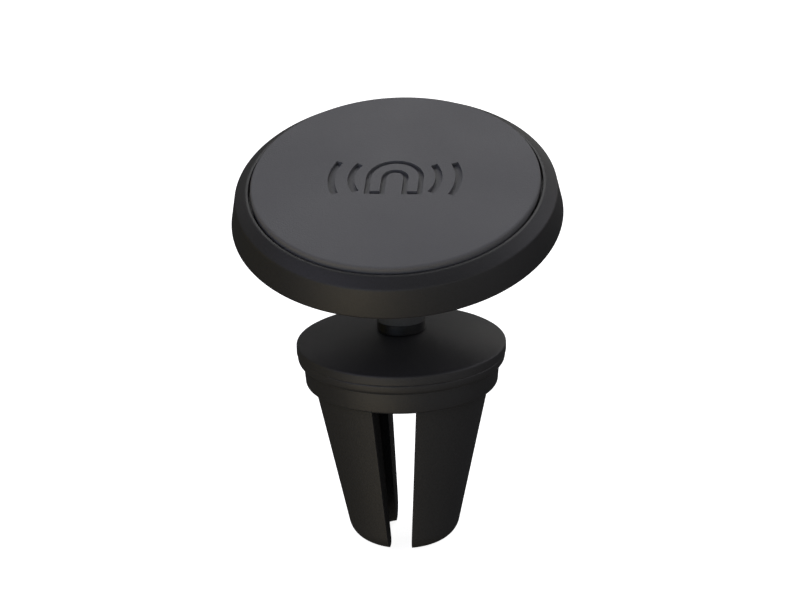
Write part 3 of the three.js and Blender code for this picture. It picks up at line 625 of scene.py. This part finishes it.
for end, side_y in (("front", -1), ("back", 1)):
    for side, side_x in (("left", -1), ("right", 1)):
        prong = turned(blank_profile, 192)
        across, up = slot_normal(WIDE_SLOT, side_x)
        cut_away(prong, (side_x * WIDE_SLOT[0], 0, PRONG_TOP), (across, 0, up))
        across, up = slot_normal(NARROW_SLOT, side_y)
        cut_away(prong, (0, side_y * NARROW_SLOT[0], PRONG_TOP), (0, across, up))
        bmesh.ops.recalc_face_normals(prong, faces=prong.faces[:])
        name = f"{end}_{side}"
        made = finish_piece(f"spring_{name}", prong, matte_nylon, f"prong_{name}",
                            [f"prong_{name}"])
        softened = made.modifiers.new("softened edges", "BEVEL")
        softened.width, softened.segments, softened.limit_method = EDGE_ROUND * MM, 2, "ANGLE"
        softened.angle_limit = math.radians(40)


# ---- floor, light and camera ---------------------------------------------------------------------
# The mount stands on its prongs' tips on a plain white table, which takes no shadow. Softboxes light
# it from above and behind, from the front left and from the right, and cards fill in round it.

TABLE_REACH, TABLE_GAP, LIGHT_DISTANCE = 3, 0.00005, 0.6

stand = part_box("prong_front_left")[0].z
table = bmesh.new()
bmesh.ops.create_grid(table, x_segments=1, y_segments=1, size=TABLE_REACH,
                      matrix=Matrix.Translation((0, 0, stand - TABLE_GAP)))
floor = set_down(table, "floor")
white = bpy.data.materials.new("white table")
white.use_nodes = True
shader = white.node_tree.nodes["Principled BSDF"]
shader.inputs["Base Color"].default_value = (0.85, 0.85, 0.85, 1)
shader.inputs["Roughness"].default_value = 0.9
shader.inputs["Emission Color"].default_value = (1, 1, 1, 1)
shader.inputs["Emission Strength"].default_value = 0.93
floor.data.materials.append(white)
floor.visible_diffuse = False
floor.visible_glossy = False
floor.visible_shadow = False

world = bpy.data.worlds.new("studio")
bpy.context.scene.world = world
world.use_nodes = True
add = node_maker(world.node_tree)
room = world.node_tree.nodes["Background"]
room.inputs["Color"].default_value = (1, 1, 1, 1)
room.inputs["Strength"].default_value = 0.045
backdrop = add("ShaderNodeBackground", {"Color": (1, 1, 1, 1), "Strength": 1.0})
chosen = add("ShaderNodeMixShader", {0: add("ShaderNodeLightPath").outputs["Is Camera Ray"]})
world.node_tree.links.new(room.outputs[0], chosen.inputs[1])
world.node_tree.links.new(backdrop.outputs[0], chosen.inputs[2])
world.node_tree.links.new(chosen.outputs[0], world.node_tree.nodes["World Output"].inputs["Surface"])


def facing(around, above):
    """The direction out to a point at an angle round from the front and at an angle above level."""
    return Vector((math.sin(around) * math.cos(above), -math.cos(around) * math.cos(above), math.sin(above)))


def soft_light(name, around, above, width, height, glow, colour):
    """A softbox that faces the mount, at an angle round it from the front and an angle above level,
    in degrees. Its glow is its brightness where a white page is 1."""
    lamp = bpy.data.lights.new(name, "AREA")
    lamp.shape, lamp.size, lamp.size_y = "RECTANGLE", width, height
    lamp.energy, lamp.color = math.pi * width * height * glow, colour
    holder = bpy.data.objects.new(name, lamp)
    holder.location = LIGHT_DISTANCE * facing(math.radians(around), math.radians(above))
    holder.rotation_euler = (-holder.location).to_track_quat("-Z", "Y").to_euler()
    holder.visible_camera = False
    bpy.context.scene.collection.objects.link(holder)


soft_light("top_softbox", 180, 66, 0.4, 0.4, 2.6, (1.0, 1.0, 1.0))
soft_light("front_softbox", -20, 4, 0.6, 0.3, 1.21, (0.7, 0.81, 1.0))
soft_light("right_softbox", 100, 34, 0.6, 0.3, 1.32, (0.92, 0.9, 1.0))
soft_light("left_high_softbox", -45, 38, 0.4, 0.3, 1.27, (0.76, 0.73, 1.0))
soft_light("warm_low_card", -25, -28, 0.5, 0.35, 1.62, (1.0, 0.83, 0.54))
soft_light("right_card", 60, 4, 0.5, 0.3, 0.53, (1.0, 0.96, 1.0))
soft_light("warm_left_card", -85, 4, 0.4, 0.3, 0.28, (1.0, 0.79, 0.0))
soft_light("back_left_card", -140, 34, 0.5, 0.3, 0.33, (1.0, 0.97, 0.94))
soft_light("back_right_card", 150, 16, 0.5, 0.3, 0.55, (1.0, 0.98, 0.93))
soft_light("right_low_card", 60, -28, 0.6, 0.3, 0.14, (0.86, 0.93, 1.0))
soft_light("slot_card", 24, -2, 0.14, 0.3, 0.9, (1.0, 1.0, 1.0))

LOOK_AT = Vector((-0.00006, 0, 0.005613))
DISTANCE, AROUND, ABOVE, ROLL = 0.3164, math.radians(5.93), math.radians(19.011), math.radians(-1.126)
back = facing(AROUND, ABOVE)
level = Vector((math.cos(AROUND), math.sin(AROUND), 0))
upward = back.cross(level)
right = level * math.cos(ROLL) + upward * math.sin(ROLL)
lens = bpy.data.cameras.new("camera")
lens.sensor_width, lens.lens = 36, 105.72
lens.clip_start, lens.clip_end = 0.01, 20
camera = bpy.data.objects.new("camera", lens)
turn = Matrix((right, back.cross(right), back)).transposed().to_4x4()
camera.matrix_world = Matrix.Translation(LOOK_AT + back * DISTANCE) @ turn
bpy.context.scene.collection.objects.link(camera)
bpy.context.scene.camera = camera
bpy.context.scene.view_settings.view_transform = "Standard"
